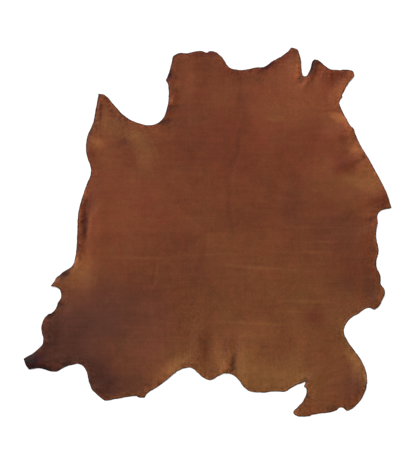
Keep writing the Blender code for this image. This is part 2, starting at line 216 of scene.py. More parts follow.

# How the dye took, together with painted light and shade: lit sides of folds, rolls and rims are
# painted lighter, and hollows, furrows, tucks and valleys painted darker. Columns: place, x, y, half
# length, half width in cm, turn in degrees, steps lighter, and where it has them, shares of gold and of
# smoke in its colour.
dyeAndPaintedLightPatches = (
    # wide
    ("neck and shoulders", 2, 46, 28, 17, 0, 0, -0.3),
    ("right side", 36, 8, 20, 18, 0, 0, -0.1),
    ("lower body", 10, -33, 34, 20, 0, 0, 0.3),
    ("right haunch", 36, -24, 14, 12, 0, 0, 0.25),
    ("lower edge", 18, -50, 36, 9, 0, 5, 0.5),
    # neck
    ("low tuck", -14.6, 36.7, 2.6, 0.8, 22, -26, 0, 0.1),
    ("low side", -11, 36, 3, 1.6, 0, -7),
    ("left tuck", -12.4, 52.6, 2.2, 0.9, 68, -30, -0.5, -0.2),
    ("left tuck's tail", -11, 51.6, 1.2, 0.8, 0, -10, -0.2, -0.1),
    ("rim light", -10.2, 49, 1.6, 1, 25, 10, 0.5),
    ("small shade", -11, 47.2, 1.2, 0.7, 0, -12, 0.1, 0.1),
    ("bright roll", -12.1, 43.8, 1.3, 0.8, 75, 32, 0.25),
    ("lower tuck", -11.2, 41.6, 1.8, 0.9, 20, -14, 0.1, 0.1),
    ("lower tuck's rim", -12.8, 40.6, 0.9, 0.8, 0, -10, -0.2),
    ("light column", -6.3, 52, 1.6, 8, 0, 6, 0.05),
    ("left middle", 0, 47, 9, 5, 0, 4, 0.15),
    ("left rim", -13, 46, 9, 1, 90, -6, -0.4),
    ("upper rim", -3, 59.6, 9, 1, 0, -8, -0.6),
    ("left light", -9.6, 50, 2, 4.5, 0, 5),
    ("dark column", -1, 52, 3.2, 8, 0, -6, -0.05),
    ("low shade", -6, 38, 5, 4, 0, -4, 0.15, 0.1),
    ("low gold", 7, 43, 4, 4, 0, 0, 0.2),
    # collar
    ("nick", 9, 53.4, 0.9, 0.7, 0, -20, -0.3),
    ("shade", 15, 52, 5, 2.4, 0, -5),
    ("rim", 14, 54.4, 7, 1, 2, 0, -0.6),
    ("right rim", 19.8, 55.2, 2.8, 0.8, 35, -50, -0.6, -0.2),
    ("right spot", 17.3, 50.6, 1.4, 1.4, 0, -9, 0, 0.1),
    # backbone
    ("neck", 11.2, 46, 1.2, 7, 6, -8, -0.1, 0.1),
    ("right side", 13, 38, 3, 12, 0, -4),
    ("middle", 8.8, 27, 0.9, 7, -15, -10, -0.1, 0.1),
    ("lower", 7, 10, 0.9, 9, 4, -7, -0.1, 0.1),
    ("left of it", -4, 26, 8, 4, 0, -6),
    # withers
    ("itself", 14, 28, 20, 11, 0, -1, -0.45),
    ("gold", 20, 29, 8, 6, 0, 0, 0.15),
    ("right light", 18.5, 31.5, 4, 7.5, 0, 6, -0.05),
    # left shoulder
    ("dark spot", -28.4, 30.2, 1.8, 1.3, 10, -13, -0.3, 0.2),
    ("spot's tail", -31.5, 28.6, 2.4, 0.6, 10, -8, 0.1, 0.1),
    ("top", -22.8, 32.6, 4.2, 2.2, 0, 9, 0.55),
    ("upper light", -25, 34.6, 5.4, 2.6, -10, 6),
    ("itself", -21.6, 26.4, 7, 3, -68, 9, 0.75),
    ("low shade", -26, 24, 2.4, 2, 0, -6),
    ("red", -25, 26, 4, 2.6, 90, 0, -0.3),
    ("line", -17.3, 27, 4, 0.5, -70, 5, 0.4),
    ("far side", -14.5, 33, 3, 2, 0, 5, 0.1),
    ("rim", -22, 36.2, 7, 0.7, -8, 14, 0.3),
    ("low patch", -15, 15, 6, 4, 30, 3, 0.1),
    # left foreleg
    ("itself", -31, 37, 6, 5, -35, 0, 0.35, 0.1),
    ("wide light", -34, 35, 4.6, 7.5, 0, 10, 0.2),
    ("band", -34, 38, 5, 1.1, 84, 8, 0.35),
    ("red", -34.5, 41.5, 4.4, 3, 90, 0, -0.4),
    ("dark line", -35.7, 39, 4.6, 0.4, 88, -13, -0.1),
    ("outer rim", -37.2, 40.5, 4, 0.5, 78, -12, -0.1, 0.1),
    ("nick", -31.8, 40.6, 1.6, 0.5, 10, -10, 0, 0.1),
    ("lower nick", -30.6, 39.4, 1.8, 0.45, -20, -8),
    ("lit squiggle", -34.3, 43.2, 1.2, 0.4, 62, 9),
    ("squiggle", -35, 42.2, 1.1, 0.4, 62, -16, -0.1),
    # left elbow
    ("itself", -39, 33.4, 1.3, 0.8, 60, -20, -0.2),
    ("rim", -39.4, 27, 5, 1, 90, 0, -0.4),
    ("light", -37, 30.4, 3.2, 1.2, -20, 18, 0.2),
    ("gold", -38, 30, 3, 2, 0, 0, 0.35),
    ("low light", -36.5, 28.4, 2.6, 1.4, 0, 12),
    ("armpit", -38.4, 25, 1.2, 1.8, 0, -4, -0.1, 0.2),
    ("armpit's rim", -24, 37, 9, 1, -14, 0, -0.8),
    # left ribs
    ("itself", -14, 12, 9, 16, 0, 0, -0.3),
    ("light", -14, 21.5, 6, 4, 0, 4),
    # left flank
    ("itself", -30, 8, 12, 16, 0, 10, -0.2),
    ("inner shade", -34, -2.5, 2, 3.4, 0, -6),
    ("upper rim", -38.6, 17, 2, 6, -18, 7, -0.2),
    ("lit side", -38, 0, 2.4, 9, 0, 6, -0.1),
    ("upper lit line", -37.2, 7.4, 3.4, 0.55, 58, 11),
    ("lower lit line", -39.4, 1.2, 4.4, 0.55, 84, 13),
    ("valley", -40.8, 2.2, 4.6, 0.8, 88, -50, -0.6, -0.1),
    ("valley head", -39.9, 9.2, 4, 1.4, 72, -14, -0.5, 0.05),
    ("rim's first nick", -43.1, -4, 1.4, 0.45, 88, -18, 0, 0.3),
    ("rim's second nick", -42.8, -8.8, 1.3, 0.5, 80, -20, 0, 0.1),
    ("rim's low light", -40.2, -7, 1.2, 2.2, 0, 12),
    # left waist
    ("spark", -43.6, -9.4, 1.3, 0.6, 70, 28, 0.1),
    ("lit arc", -44.2, -11.6, 2, 0.35, 40, 10),
    ("dark arc", -43, -12.2, 2, 0.4, 40, -10),
    ("itself", -42, -11, 4.6, 3.6, -20, 26, 0.35),
    ("gold", -45, -14, 5, 4, 0, 0, 0.25),
    ("lower side", -43, -16, 5, 3, 0, 11, 0.35),
    # left point
    ("tuck", -47.4, -14, 2, 1.1, 40, -42, 0.2, 0.5),
    ("itself", -49, -16.8, 2.6, 1.4, 20, 6, 0.1, 0.3),
    ("gold", -49.5, -17.5, 3, 2.6, 0, 0, 0.4),
    # left belly
    ("itself", -30, -26, 13, 9, 0, -5, 0.2, 0.4),
    ("line", -22, -8.6, 9, 0.45, 0, 6, 0.2),
    ("hanging line", -16.8, -12.8, 3.2, 0.5, 82, 7, 0.2),
    ("hanging tail", -17.6, -17.4, 2.6, 0.5, 60, 7, 0.2),
    # belly
    ("shade", -18, -18, 13, 9, 0, -6, -0.15),
    ("light spot", -19, -9, 2.4, 1.6, 0, 6),
    # loins
    ("itself", 2, -2, 18, 12, 0, 1, 0.05),
    ("red", 6, 13, 7, 6, 0, 0, -0.15),
    ("right shade", 13, 5, 9, 6, 0, -4, -0.15),
    ("left shade", -11, -4, 9, 5, 0, -4, -0.1),
    ("right gold", 32, -14, 13, 12, 0, 0, 0.1),
    ("shade", -4, -12, 7, 7, 0, -6, -0.1, 0.15),
    # saddle
    ("right side", 7, -27, 3.5, 8, 0, 0, 0.2),
    ("top", 2, -23, 3.5, 6, 0, -4),
    ("left side", -15, -33, 4.5, 10, 0, -3, -0.2, 0.3),
    ("warm place", 15, -32.5, 7, 4, 0, 9, 0.1),
    ("long line", 17, -11.8, 17, 0.5, -4, 8, 0.3),
    ("bright line", 18, -12.4, 4, 0.7, -4, 8, 0.2),
    ("cross line", 12, -30.2, 11, 0.45, -3, 8, 0.2),
    # growth lines
    ("first", 19, -30.4, 8, 0.38, -3, 5, 0.1),
    ("second", 26, -26.4, 9, 0.34, -3, 7, 0.1),
    ("third", 31, -22.6, 9, 0.34, 2, 7),
    ("fourth", -22, -31.8, 11, 0.34, -3, 5, 0.1),
    ("fifth", -10, -14, 11, 0.34, -2, 4, 0.1),
    ("sixth", -2, -7.6, 11, 0.34, 3, 6, 0.2),
    ("seventh", 32, 1.6, 9, 0.32, -1, 5, 0.1),
    ("eighth", -12, 4.4, 13, 0.32, 3, 4, 0.1),
    ("ninth", 14, -34.6, 9, 0.34, 2, 6, 0.1),
    ("tenth", -32, -37, 9, 0.34, -2, 5, 0.2),
    ("eleventh", 12, 10.6, 11, 0.32, -2, 4),
    # right shoulder
    ("light", 29, 48, 3.5, 9, 0, 6),
    ("itself", 26, 44, 16, 11, 0, 13, 0.1),
    ("red", 40, 46, 6, 6, 0, 0, -0.2),
    ("spot", 22, 38, 3.2, 1.2, 0, 6, 0.5),
    ("gold", 24, 39, 4, 3, 0, 0, 0.3),
    # right foreleg
    ("wide light", 39, 46, 9, 8, 0, 9),
    ("near light", 25.5, 54, 3.5, 2.5, 0, 8),
    ("far border", 46.8, 48.5, 5.5, 2, 58, 31, 0.1),
    ("upper rim", 25, 57.8, 6, 1.1, 38, -12, -0.6),
    ("near point", 29, 56.5, 3, 3.6, 0, 9, 0.1),
    ("lit pleat", 37.6, 52.4, 3.2, 0.7, 60, 10),
    ("dark pleat", 39, 52.2, 1.6, 0.5, 60, -16, 0, 0.2),
    ("second lit pleat", 40.3, 52, 1.8, 0.5, 60, 8),
    ("far hollow", 42.8, 51.6, 3.2, 2.2, 30, -12, -0.25),
    ("far lit side", 43, 46.8, 2.8, 1.8, 45, 9, 0.25),
    ("far rim", 46.6, 51, 1.4, 0.7, 50, -2, 0, 0.1),
    ("low rim's stroke", 44.9, 45.3, 1, 0.5, 70, -12),
    ("far rim's stroke", 47.4, 51, 2.2, 0.4, 56, -14),
    ("far point", 47.6, 52.4, 1.6, 1.4, 0, 8, 0.3),
    ("red", 41, 53, 8, 2.6, 0, 0, -0.6),
    # notch
    ("left lip", 30.1, 54, 4, 1, 82, 24),
    ("foot", 33.6, 50, 3.2, 1.1, 36, 10, 0.05),
    ("lower line", 30.4, 50.3, 1.7, 0.45, 42, -17),
    ("lit lip", 32.6, 50, 2, 0.5, 35, 13),
    ("left nick", 31.2, 51.3, 0.9, 1, 0, -26, 0, 0.2),
    ("right shade", 35, 54.2, 3.6, 1.15, 72, -34, -0.2),
    ("low shade", 35.4, 51.6, 1.6, 0.9, 70, -14, -0.2, -0.1),
    ("shade's top", 36.2, 56.6, 1.9, 0.8, -22, -18, -0.2),
    ("shade's tail", 33.4, 49.4, 1.8, 0.6, 52, -14, 0, 0.2),
    # right ribs
    ("itself", 36, 31, 7, 6, 0, 0, -0.25),
    ("near light", 41, 30, 4, 3, 0, 6),
    ("light", 39, 22.5, 6, 6, 0, 8),
    # right flank
    ("lit border", 51.5, 27, 18, 3.4, -62, 13, 0.05),
    ("upper light", 44, 34.5, 6, 4, 0, 12, -0.1),
    ("wide light", 48, 18, 11, 10, 0, 5, 0.2),
    ("bright edge", 44.4, 38.2, 2.9, 1.5, -12, 31, 0.5),
    ("bright tail", 46.7, 36.2, 1.7, 0.9, -50, 20, 0.3),
    ("ripples", 45.2, 32, 1.6, 2.4, 0, -8, -0.2, 0.1),
    ("ruffle", 49.2, 27, 2.6, 1.9, 30, 26, 0.35),
    ("inner spot", 45, 24.5, 2, 1.6, 90, -8),
    ("red", 44.5, 23, 3.4, 3.4, 0, 0, -0.6),
    ("nick", 52, 25.4, 1.3, 0.6, -55, -16, 0, 0.1),
    ("furrow", 47, 22, 4.2, 2.3, 35, -11, -0.55),
    ("lit rim", 55, 20, 4.5, 0.6, -62, 8, 0.2),
    ("gold", 50.6, 17, 5, 2.8, -5, 15, 0.6),
    ("near gold", 42, 17, 3, 3, 0, 0, 0.35),
    ("low border", 51, 21, 2.5, 1.6, 0, 11),
    ("gold rim", 55, 14.5, 3, 3, 0, 3, 0.35),
    ("point", 57.6, 10.2, 3.2, 2, 10, -10, -0.7, 0.2),
    ("point's lower rim", 57.4, 8.4, 2.4, 0.8, 15, -12, -0.3, 0.1),
    ("red place", 52.4, 8.6, 2.4, 1.2, 0, 2, -0.3),
    ("low light", 53.4, 6.2, 1.4, 0.9, 0, 10),
    ("small ring", 53.9, 4.2, 0.9, 0.6, 0, -14, 0, 0.2),
    ("small light", 55.2, 2.4, 0.7, 1.2, 0, 8, 0.3),
    ("outer light", 53.5, 11.5, 5, 4, 90, 5),
    ("inner shade", 47.5, 6, 2.6, 2.2, 0, -11),
    # right middle
    ("itself", 28, 9, 5, 9, 0, -6, -0.05, 0.15),
    ("light", 25, 14, 4, 2, 90, 6),
    # right belly
    ("itself", 43, 0.5, 9, 7, 0, -7, 0, 0.3),
    ("inner shade", 46.5, -5, 2.6, 2.4, 0, -5),
    ("low red", 49, -14, 8, 9, 0, 0, -0.2),
    ("rim", 56, -1, 3, 0.8, 90, 22, 0.6),
    ("border", 54.5, -7.5, 2, 2.4, 0, -7),
    ("red", 46, -6, 9, 11, 0, 0, -0.05),
    ("lower part", 46, -10, 10, 7, 0, -6, 0, 0.1),
    ("line", 38, -3.2, 9, 0.45, 0, 6, 0.1),
    ("second line", 36, -6.6, 9, 0.5, 0, 6, 0.2),
    # right bump
    ("shade", 54, -18.5, 2.6, 5, 8, -16, 0.1, 0.3),
    ("inner rim", 56.4, -19, 1.2, 3.6, 0, -10, 0, 0.1),
    ("far shade", 46, -17.5, 4, 3, 0, -8, 0.1, 0.2),
    ("lit rim", 58, -20.5, 0.5, 3, 0, 14),
    ("dark line", 57, -20.5, 2.6, 0.5, 84, -9),
    ("lower gold", 50, -25, 3.4, 1.8, 15, 0, 0.4),
    ("gold", 58, -19, 4, 2, 90, 0, 0.5),
    # right waist
    ("shade", 35.5, -28, 3.4, 3.4, 0, -8, -0.5, 0.1),
    ("itself", 44, -26, 5, 6, 0, 1, 0.15, 0.15),
    ("gold", 44, -33, 6, 4, 90, 0, 0.35),
    # left haunch
    ("red", -30, -30, 15, 12, 0, 0, -0.25),
    ("itself", -47, -25, 4, 3.6, 0, 7, 0.3, 0.1),
    ("upper light", -42, -19, 5, 5, 0, 4),
    ("nick", -48.8, -24.2, 1.2, 0.9, 40, -28, 0, 0.3),
    ("rim", -49.6, -22.4, 3, 0.9, 68, -18),
    ("lower nick", -52, -27.6, 1.4, 0.7, 40, -28, 0, 0.3),
    # left hind quarter
    ("itself", -47, -36.5, 9.5, 8, 14, -16, 0.1, 0.8),
    ("border", -52.5, -34, 3.2, 7, -6, -12, 0, 0.1),
    ("shade", -42, -33, 18, 13, 14, -16, 0.1, 0.6),
    # left hind leg
    ("lower rim", -45, -43.6, 8, 2.2, 4, -17, 0, 0.3),
    ("red", -46.5, -42.6, 4, 1.6, 0, 0, -0.8, -0.1),
    ("lower spot", -47, -43.9, 1.8, 0.7, 25, -14),
    # left hind foot
    ("itself", -58.4, -43.8, 5.6, 2.6, 12, -38, 0, 0.1),
    ("red", -59.6, -42.4, 5, 3, 10, 0, -0.8, -2),
    ("lower rim", -52.5, -45.6, 5.6, 0.9, 0, -32),
    ("lower spot", -53.4, -45.2, 1.8, 0.7, -20, -12),
    ("upper side", -57.5, -40.2, 5, 2, 30, -24, 0, 0.1),
    ("tip", -60, -43.4, 2.6, 2.4, 0, -20),
    # left hind lobe
    ("itself", -35.2, -49.5, 5.4, 7, 10, -37, -0.15, 0.8),
    ("rim", -30, -54.6, 9, 1.3, 2, 0, 0.4),
    ("corner", -37.5, -53, 1.6, 1.4, 0, -12, 0, 0.1),
    ("far end", -26, -50.5, 6, 4, 0, -14, 0.15, 0.4),
    # left rump
    ("itself", -22, -41, 5, 8, 0, -1, -0.1, 0.3),
    ("light", -17, -39, 5, 4, 0, 4),
    ("gold", -30, -40, 5, 4, 0, 0, 0.25),
    ("low shade", -26, -44, 4, 2.4, 0, -8, 0, 0.1),
    # rump
    ("left rim", -12, -45.2, 4.5, 2.3, 38, 28, 0.7),
    ("left gold", -10, -41, 6, 3, 0, 0, 0.4),
    ("left rim's end", -7.2, -42.6, 2.6, 1.8, 0, 9, 0.2),
    ("dark dip", -0.6, -38, 1.8, 5.5, 0, -11, -0.15, 0.1),
    ("light pleat", 2.8, -40, 1, 6.5, 0, 9, 0.15),
    ("pleats' gold", 3.6, -41, 5, 3, 90, 0, 0.1),
    ("small shade", 6, -38.6, 0.7, 2.6, 0, -12, 0, 0.3),
    ("bright pleat", 5.8, -44.6, 1.7, 2, 0, 19),
    ("gully's far light", 13.4, -42, 5, 2.6, 90, 5),
    ("gully's near light", 7, -41, 3.4, 1.4, 90, 7),
    ("right light", 13, -44, 2.8, 6.5, 0, 11, 0.5),
    ("middle light", 4, -41, 3.4, 5.5, 0, 8),
    ("gully", 8.8, -43.8, 0.75, 3.4, -8, -20, 0, 0.2),
    ("gully's lit side", 11.3, -40, 1.2, 6, -4, 9, 0.1),
    ("gold", 18, -47.5, 9, 4.6, 0, 9, 0.4),
    ("lower gold", 25, -49.5, 7, 3, 0, 0, 0.3),
    ("gully's far gold", 13.2, -46, 4.5, 1.6, 80, 0, 1),
    ("lower rim", 20, -51.8, 9, 1.4, 0, 1, 0.4),
    ("gold, right end", 28, -47, 5, 5, 0, 7.3, 0.1),
    # right rump
    ("warm place", 31, -40, 1.8, 3.5, 0, 8, -0.1),
    ("light", 30, -32, 5, 3, 90, 4),
    ("gold", 30, -43, 3.5, 7, 0, 0, 0.3),
    ("line", 33, -23.2, 8, 0.4, 0, 5, 0.1),
    # right hind leg
    ("light", 47.8, -41.2, 3.8, 1.7, -52, 13, 0.7),
    ("outer gold", 51, -46.5, 6, 2.2, -75, 0, 0.7),
    ("upper gold", 46.5, -36, 5, 2.2, -70, 0, 0.55),
    ("outer shade", 47.2, -45.5, 1.6, 2.6, 0, -8),
    ("wide light", 50.5, -44, 3, 7, 10, 13, 0.5),
    ("itself", 36.5, -53, 4, 5, 0, -2, 0.3),
    ("tip", 31, -60.2, 1.6, 0.7, 0, -16, 0.1, 0.2),
    # slit
    ("inner light", 35, -52, 3.6, 1.7, 90, 8),
    ("low point", 30, -60.2, 2.6, 1.2, 0, 14, 0.7),
    ("far side", 31.5, -56.5, 2.8, 1, 62, -12),
    ("itself", 32.8, -49.4, 0.9, 0.8, 0, -22, 0, 0.2),
    ("lower nick", 33.6, -54.6, 0.7, 1, 0, -20, 0, 0.2),
    ("lit lip", 31, -48.2, 2.2, 0.8, 20, 10, 0.2),
    # right hind lobe
    ("lower rim", 44, -58.4, 6, 1.5, 0, 0, 0.3),
    ("outer rim", 52.2, -50, 5, 0.8, 90, 8, 0.3),
    ("itself", 48.6, -51.5, 4.4, 5, 0, -15, -0.2, 0.35),
    ("soft shade", 44, -49, 8, 7, 0, 1, 0, 0.1),
    ("lit rim", 52.1, -47.5, 0.6, 2.6, 4, 11, 0.2),
    ("nicks", 41.2, -58.6, 2.2, 1.2, 10, -14, 0.1, 0.2),
)

# Where the pebbled grain stands out. Columns: place, x, y, half length, half width, strength.
pebblePatches = (
    ("saddle", 2, -32, 16, 13, 0.25),
    ("saddle's left half", -5.5, -32, 4.5, 9, 0.6),
    ("saddle's top", -6, -18, 5, 6, 0.25),
    ("rump's left", -6, -43, 6, 4, 0.5),
    ("beside the gully", 8, -41, 5, 6, 0.8),
    ("right rump", 24, -40, 13, 10, 0.6),
    ("right loin", 24, -16, 12, 8, 0.3),
    ("left shoulder", -26, 34, 10, 8, 0.5),
    ("right shoulder", 30, 44, 10, 8, 0.4),
)

# Where the rim's grain is livelier still. Columns: place, x, y, half length, half width in cm,
# and how much more.
livelyPlaces = (
    ("left foreleg", -35, 40, 7, 9, 0.9),
    ("left flank's rim", -42, 4, 5, 11, 1),
    ("right foreleg", 38, 52, 14, 7, 0.9),
    ("right flank", 50, 28, 6, 9, 0.4),
    ("rump", 5, -46, 10, 6, 0.6),
    ("slit", 32, -53, 5, 7, 0.8),
    ("hind lobe", 50, -54, 6, 6, 0.7),
)

# Where the folds are pressed flatter than the CAD's. Columns: place, x, y, half length,
# half width in cm, and the share of their height taken away.
pressedPlaces = (
    ("right foreleg's far point", 45, 48.5, 7, 7, 0.8),
    ("right foreleg's notch side", 36, 51, 4, 7, 0.3),
    ("right flank", 49, 26, 9, 12, 0.5),
    ("right flank's point", 57, 11, 6, 4, 0.35),
    ("left flank's rim", -43, 4, 3.5, 13, 0.3),
    ("left foreleg", -36, 38, 6, 9, 0.5),
)


def openCadHide():
    # a merged copy of the CAD hide, since the node's own mesh stays as it is
    copy = bmesh.new()
    copy.from_mesh(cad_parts["hide"].data)
    bmesh.ops.remove_doubles(copy, verts=copy.verts, dist=hide["mergeWithin"])
    copy.normal_update()
    return copy


def rimCorners(copy):
    # the underside's border, in order, counter-clockwise from above
    beside = {}
    for edge in copy.edges:
        slopes = sorted(face.normal.z for face in edge.link_faces)
        if len(slopes) == 2 and slopes[0] < -0.5 < slopes[1] < 0.5:
            a, b = edge.verts
            beside.setdefault(a, []).append(b)
            beside.setdefault(b, []).append(a)
    start = max(beside, key=lambda v: (v.co.y, v.co.x))
    loop, last, here = [start], None, start
    while True:
        ahead = [v for v in beside[here] if v is not last]
        last, here = here, ahead[0]
        if here is start:
            break
        loop.append(here)
    corners = np.array([v.co.xy for v in loop])
    return corners if signedArea(corners) > 0 else corners[::-1]


def signedArea(loop):
    ahead = np.roll(loop, -1, axis=0)
    return 0.5 * np.sum(loop[:, 0] * ahead[:, 1] - ahead[:, 0] * loop[:, 1])


def between(start, end, startTime, endTime, time):
    span = endTime - startTime
    return (endTime - time) / span * start + (time - startTime) / span * end


def smoothLoop(corners, spacing):
    # a centripetal curve through the corners, then points at an even spacing along it
    fine = []
    count = len(corners)
    for i in range(count):
        p0, p1, p2, p3 = (corners[(i + k) % count] for k in (-1, 0, 1, 2))
        t0 = 0.0
        t1 = t0 + max(np.linalg.norm(p1 - p0), 1e-6) ** 0.5
        t2 = t1 + max(np.linalg.norm(p2 - p1), 1e-6) ** 0.5
        t3 = t2 + max(np.linalg.norm(p3 - p2), 1e-6) ** 0.5
        for t in np.linspace(t1, t2, hide["curveSteps"], endpoint=False):
            a1 = between(p0, p1, t0, t1, t)
            a2 = between(p1, p2, t1, t2, t)
            a3 = between(p2, p3, t2, t3, t)
            b1 = between(a1, a2, t0, t2, t)
            b2 = between(a2, a3, t1, t3, t)
            fine.append(between(b1, b2, t1, t2, t))
    fine = np.array(fine)
    steps = np.linalg.norm(np.roll(fine, -1, axis=0) - fine, axis=1)
    along = np.concatenate([[0.0], np.cumsum(steps)])
    closed = np.vstack([fine, fine[:1]])
    wanted = np.linspace(0, along[-1], round(along[-1] / spacing), endpoint=False)
    return np.column_stack([np.interp(wanted, along, closed[:, k]) for k in (0, 1)])


def outward(loop):
    tangent = np.roll(loop, -1, axis=0) - np.roll(loop, 1, axis=0)
    tangent /= np.maximum(np.linalg.norm(tangent, axis=1), 1e-9)[:, None]
    return np.column_stack([tangent[:, 1], -tangent[:, 0]])


def drift(points, size, seed):
    # smooth noise of -1 to 1 at each point
    return np.array([noise.noise(Vector((p[0] / size, p[1] / size, seed))) for p in points])


def drifts(points, size, seeds):
    # the same for x and y
    return np.column_stack([drift(points, size, seed) for seed in seeds])


def knifeCut(loop):
    wander = hide["knifeWobble"] * drift(loop, hide["wobbleSize"], 3.1)
    bite = hide["knifeBite"] * drift(loop, hide["biteSize"], 8.7)
    return loop + outward(loop) * (wander + bite - hide["cutInside"])[:, None]


def treeOf(points):
    tree = kdtree.KDTree(len(points))
    for i, p in enumerate(points):
        tree.insert((p[0], p[1], 0.0), i)
    tree.balance()
    return tree


def rimDistance(points, rimTree):
    return np.array([rimTree.find((p[0], p[1], 0.0))[2] for p in points])


def latticeInside(loop, spacing, rimTree, nearest, farthest=math.inf):
    # rows of a triangular lattice between the loop's crossings, within a strip beside the rim
    ahead = np.roll(loop, -1, axis=0)
    low, high = loop.min(axis=0), loop.max(axis=0)
    rowHeight = spacing * math.sqrt(3) / 2
    found = []
    for row, y in enumerate(np.arange(low[1] + rowHeight / 2, high[1], rowHeight)):
        crossing = (loop[:, 1] > y) != (ahead[:, 1] > y)
        a, b = loop[crossing], ahead[crossing]
        xs = np.sort(a[:, 0] + (y - a[:, 1]) * (b[:, 0] - a[:, 0]) / (b[:, 1] - a[:, 1]))
        shift = low[0] + (row % 2) * spacing / 2
        for x0, x1 in zip(xs[0::2], xs[1::2]):
            columns = np.arange(math.ceil((x0 - shift) / spacing), (x1 - shift) / spacing)
            found.append(np.column_stack([shift + columns * spacing, np.full(len(columns), y)]))
    lattice = np.vstack(found)
    fromRim = rimDistance(lattice, rimTree)
    return lattice[(fromRim > nearest) & (fromRim < farthest)]


def trianglesIn(border, inside):
    # a closed border, the points inside it, and the triangles between them, facing up
    points = [Vector(p) for p in np.vstack([border, inside])]
    count = len(border)
    edges = [(i, (i + 1) % count) for i in range(count)]
    flat, _edges, faces, origins = delaunay_2d_cdt(points, edges, [], 1, 1e-7)[:4]
    place = {}
    for new, olds in enumerate(origins):
        for old in olds:
            place[old] = new
    flat = np.array([tuple(p) for p in flat])
    faces = np.array(faces)
    a, b, c = (flat[faces[:, k]] for k in range(3))
    turned = (b[:, 0] - a[:, 0]) * (c[:, 1] - a[:, 1]) < (b[:, 1] - a[:, 1]) * (c[:, 0] - a[:, 0])
    faces[turned] = faces[turned][:, ::-1]
    return flat, faces, np.array([place[i] for i in range(count)])


def cadGrainTree(copy):
    copy.verts.index_update()
    faces = [[v.index for v in face.verts] for face in copy.faces if face.normal.z > 0.5]
    return BVHTree.FromPolygons([v.co for v in copy.verts], faces)


def surfaceTree(points, heights, faces):
    return BVHTree.FromPolygons(np.column_stack([points, heights]).tolist(), faces.tolist())


def heightsFrom(tree, points):
    # the height of a surface above each place, or of its nearest point past its border
    found = []
    for x, y in points:
        hit = tree.ray_cast(Vector((x, y, 1.0)), Vector((0, 0, -1)))[0]
        if hit is None:
            hit = tree.find_nearest(Vector((x, y, 0.5 * hideHigh.z)))[0]
        found.append(hit.z)
    return np.array(found)


def neighbourMean(values, faces):
    total, count = np.zeros(len(values)), np.zeros(len(values))
    for a, b in ((0, 1), (1, 2), (2, 0)):
        for here, there in ((a, b), (b, a)):
            np.add.at(total, faces[:, here], values[faces[:, there]])
            np.add.at(count, faces[:, here], 1)
    return total / np.maximum(count, 1)


def creaseHeights(points):
    # every crease of the table, bent a little by a slow drift so that none is ruled
    bent = points + hide["creaseDrift"] * drifts(points, hide["creaseDriftSize"], (21, 34))
    total = np.zeros(len(points))
    for _name, x0, y0, x1, y1, bow, halfWidth, height, fades in creases:
        start = np.array((x0, y0)) * cm
        along = np.array((x1, y1)) * cm - start
        length = np.linalg.norm(along)
        along /= length
        away = bent - start
        t = np.clip(away @ along / length, 0, 1)
        side = away @ np.array((-along[1], along[0])) - bow * cm * 4 * t * (1 - t)
        past = away @ along - t * length
        u = np.hypot(side, past) / (halfWidth * cm)
        fade = np.cos(t * math.pi / 2) if fades == "in" else np.sin(t * math.pi)
        total += height * mm * fade * np.where(u < 1, (1 - u * u) ** 2, 0)
    return total


def patchShare(points, x, y, halfLength, halfWidth, turn=0):
    # 1 in a patch's middle, falling softly to 0
    angle = math.radians(turn)
    dx, dy = points[:, 0] - x * cm, points[:, 1] - y * cm
    u = (dx * math.cos(angle) + dy * math.sin(angle)) / (halfLength * cm)
    v = (dy * math.cos(angle) - dx * math.sin(angle)) / (halfWidth * cm)
    return np.exp(-hide["patchFall"] * (u * u + v * v) ** hide["patchFlatness"])


def patchSum(points, table):
    total = np.zeros(len(points))
    for _place, x, y, halfLength, halfWidth, amount in table:
        total += amount * patchShare(points, x, y, halfLength, halfWidth)
    return total


def dyeAndPaintedLightOf(points):
    # lightness in steps, gold, smoke and pebble at each point, with blotchy borders; the lightness
    # holds the dye and the painted light and shade on folds and rims
    wander = drifts(points, patchSettings["wanderSize"], (5, 9))
    ragged = drifts(points, patchSettings["raggedSize"], (15, 19))
    torn = drifts(points, patchSettings["tornSize"], (25, 29))
    moved = points + patchSettings["wander"] * wander + patchSettings["ragged"] * ragged + patchSettings["torn"] * torn
    steadier = points + patchSettings["steadyRagged"] * ragged + patchSettings["steadyTorn"] * torn
    light, gold, smoke = (np.zeros(len(points)) for _ in range(3))
    for _place, x, y, halfLength, halfWidth, turn, steps, *shares in dyeAndPaintedLightPatches:
        golden, smoky = (*shares, 0, 0)[:2]
        places = steadier if halfWidth * cm < patchSettings["narrow"] else moved
        share = patchShare(places, x, y, halfLength, halfWidth, turn)
        light += steps * share
        gold += golden * share
        smoke += smoky * share
    return {
        "light": light,
        "gold": np.clip(gold, *patchSettings["goldRange"]),
        "smoke": np.clip(smoke, *patchSettings["smokeRange"]),
        "pebble": np.clip(patchSum(moved, pebblePatches), *patchSettings["pebbleRange"]),
    }


def thicknessAt(fromRim):
    return hide["thickness"] * (1 - hide["rimThinning"] * np.exp(-fromRim / hide["thinningReach"]))


def grainHeights(points, faces, fromRim, cadTree):
    # the CAD's folds made smooth, with the swells and creases, lower where the rim hangs down
    z = heightsFrom(cadTree, points)
    for _pass in range(hide["smoothings"]):
        z = (1 - hide["smoothing"]) * z + hide["smoothing"] * neighbourMean(z, faces)
    for _place, x, y, halfLength, halfWidth, pressed in pressedPlaces:
        share = patchShare(points, x, y, halfLength, halfWidth)
        z -= pressed * share * np.maximum(z - hide["thickness"], 0)
    swell = 0.5 + 0.5 * drift(points, hide["swellSize"], 2.0)
    z += hide["swell"] * swell + creaseHeights(points)
    thickness = thicknessAt(fromRim)
    near = np.clip(1 - fromRim / hide["droopReach"], 0, 1)
    z -= hide["rimDroop"] * near * near * (3 - 2 * near) * np.maximum(z - thickness, 0)
    return np.maximum(z, thickness * hide["leastHeight"])


